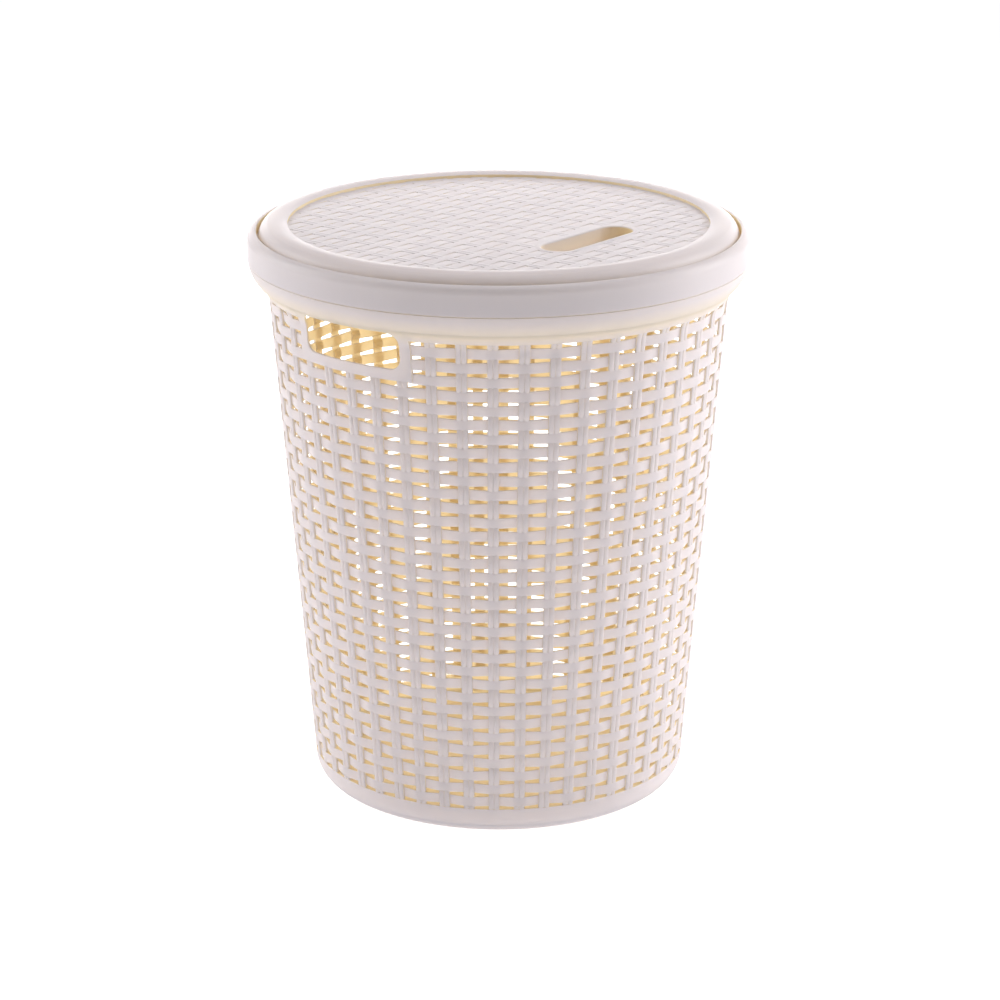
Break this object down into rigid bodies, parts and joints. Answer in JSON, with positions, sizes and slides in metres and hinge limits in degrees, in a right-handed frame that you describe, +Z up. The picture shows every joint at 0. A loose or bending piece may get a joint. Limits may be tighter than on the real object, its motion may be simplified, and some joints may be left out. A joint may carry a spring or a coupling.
{
  "type": "laundry hamper",
  "caption": "Round tapered laundry hamper in a rattan weave moulding, with two hand openings, a separate collar and a hinged lid with a hand slot.",
  "frame": {"origin": "middle of the underside of the foot ring, on the floor", "axes": "+Z up the hamper's axis, -Y the front where the lid's hand slot is, +Y the hinge side, the hand openings at -X and +X"},
  "size_m": [0.4519, 0.452, 0.5288],
  "materials": {
    "ivory_plastic": "satin moulded polypropylene, slightly translucent, ivory"
  },
  "bodies": {
    "basket": {"base_floor": "ivory_plastic", "foot_ring": "ivory_plastic", "base_corner": "ivory_plastic", "base_hoop": "ivory_plastic", "woven_wall": "ivory_plastic", "band_foot_front": "ivory_plastic", "band_foot_back": "ivory_plastic", "top_band": "ivory_plastic", "handle_frame_left": "ivory_plastic", "handle_frame_right": "ivory_plastic", "collar_ring": "ivory_plastic", "collar_ledge": "ivory_plastic", "hinge_bracket": "ivory_plastic"},
    "lid": {"lid_panel": "ivory_plastic", "lid_border": "ivory_plastic", "slot_lip": "ivory_plastic", "hinge_arm": "ivory_plastic"}
  },
  "joints": [
    {"name": "lid_hinge", "type": "hinge", "parent": "basket", "child": "lid", "pos_m": [0, 0.2162, 0.5198], "axis": [-1, 0, 0], "range_deg": [0, 100]}
  ]
}
